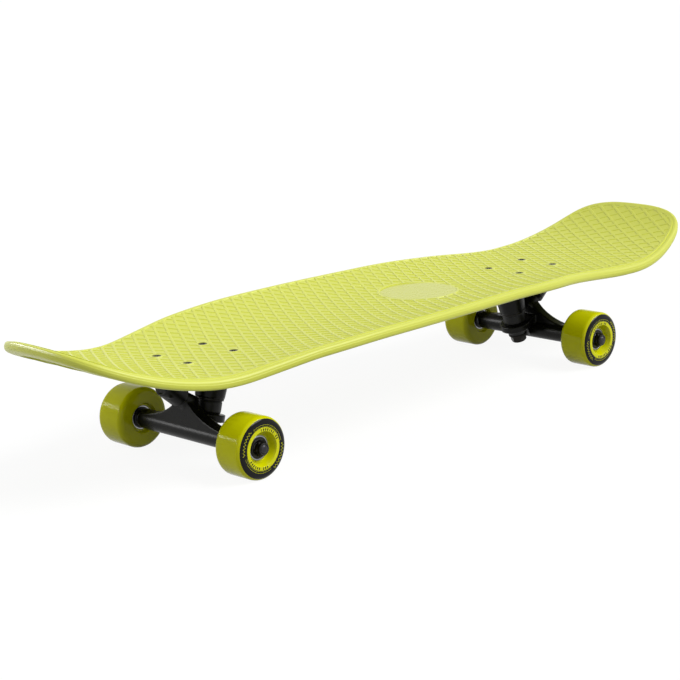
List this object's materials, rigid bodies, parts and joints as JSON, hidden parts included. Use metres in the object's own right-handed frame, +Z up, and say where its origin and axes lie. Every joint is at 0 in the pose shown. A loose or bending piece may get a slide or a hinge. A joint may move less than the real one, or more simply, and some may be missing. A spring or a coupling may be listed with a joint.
{
  "type": "skateboard",
  "caption": "Skateboard with a moulded waffle-top plastic deck, kicked ends, steering trucks on bushings and urethane wheels on ball bearings.",
  "frame": {"origin": "on the ground, under the middle of the deck", "axes": "+X towards the tail, +Y to the rider's right, +Z up"},
  "size_m": [0.832, 0.2212, 0.1424],
  "materials": {
    "deck_plastic": "moulded polypropylene, satin, lime yellow",
    "truck_casting": "cast aluminium, black satin paint",
    "black_steel": "steel, black oxide",
    "bushing_urethane": "cast urethane, black",
    "wheel_urethane": "cast urethane, glossy, olive lime",
    "bearing_steel": "ground bearing steel"
  },
  "bodies": {
    "board": {"deck": "deck_plastic", "front_baseplate": "truck_casting", "front_pivot_cup": "bushing_urethane", "front_kingpin": "black_steel", "front_top_washer": "black_steel", "front_top_bushing": "bushing_urethane", "front_bottom_bushing": "bushing_urethane", "front_bottom_washer": "black_steel", "front_kingpin_nut": "black_steel", "front_deck_bolts": "black_steel", "front_locknuts": "black_steel", "rear_baseplate": "truck_casting", "rear_pivot_cup": "bushing_urethane", "rear_kingpin": "black_steel", "rear_top_washer": "black_steel", "rear_top_bushing": "bushing_urethane", "rear_bottom_bushing": "bushing_urethane", "rear_bottom_washer": "black_steel", "rear_kingpin_nut": "black_steel", "rear_deck_bolts": "black_steel", "rear_locknuts": "black_steel"},
    "front_hanger": {"front_hanger": "truck_casting", "front_axle": "black_steel", "front_left_inner_races": "bearing_steel", "front_left_spacer": "bearing_steel", "front_left_speed_washers": "bearing_steel", "front_left_axle_nut": "black_steel", "front_right_inner_races": "bearing_steel", "front_right_spacer": "bearing_steel", "front_right_speed_washers": "bearing_steel", "front_right_axle_nut": "black_steel"},
    "front_left_wheel": {"front_left_wheel": "wheel_urethane", "front_left_outer_races": "bearing_steel", "front_left_balls": "bearing_steel"},
    "front_right_wheel": {"front_right_wheel": "wheel_urethane", "front_right_outer_races": "bearing_steel", "front_right_balls": "bearing_steel"},
    "rear_hanger": {"rear_hanger": "truck_casting", "rear_axle": "black_steel", "rear_left_inner_races": "bearing_steel", "rear_left_spacer": "bearing_steel", "rear_left_speed_washers": "bearing_steel", "rear_left_axle_nut": "black_steel", "rear_right_inner_races": "bearing_steel", "rear_right_spacer": "bearing_steel", "rear_right_speed_washers": "bearing_steel", "rear_right_axle_nut": "black_steel"},
    "rear_left_wheel": {"rear_left_wheel": "wheel_urethane", "rear_left_outer_races": "bearing_steel", "rear_left_balls": "bearing_steel"},
    "rear_right_wheel": {"rear_right_wheel": "wheel_urethane", "rear_right_outer_races": "bearing_steel", "rear_right_balls": "bearing_steel"}
  },
  "joints": [
    {"name": "front_steer", "type": "hinge", "parent": "board", "child": "front_hanger", "pos_m": [-0.2675, 0, 0.0692], "axis": [-0.7667, 0, 0.642], "range_deg": [-12, 12], "stiffness_Nm_per_rad": 60, "deforming": ["front_top_bushing", "front_bottom_bushing"]},
    {"name": "rear_steer", "type": "hinge", "parent": "board", "child": "rear_hanger", "pos_m": [0.2435, 0, 0.0692], "axis": [0.7667, 0, 0.642], "range_deg": [-12, 12], "stiffness_Nm_per_rad": 60, "deforming": ["rear_top_bushing", "rear_bottom_bushing"]},
    {"name": "front_left_spin", "type": "hinge", "parent": "front_hanger", "child": "front_left_wheel", "pos_m": [-0.2485, -0.079, 0.0282], "axis": [0, 1, 0], "continuous": true},
    {"name": "front_right_spin", "type": "hinge", "parent": "front_hanger", "child": "front_right_wheel", "pos_m": [-0.2485, 0.079, 0.0282], "axis": [0, 1, 0], "continuous": true},
    {"name": "rear_left_spin", "type": "hinge", "parent": "rear_hanger", "child": "rear_left_wheel", "pos_m": [0.2245, -0.079, 0.0282], "axis": [0, 1, 0], "continuous": true},
    {"name": "rear_right_spin", "type": "hinge", "parent": "rear_hanger", "child": "rear_right_wheel", "pos_m": [0.2245, 0.079, 0.0282], "axis": [0, 1, 0], "continuous": true}
  ]
}
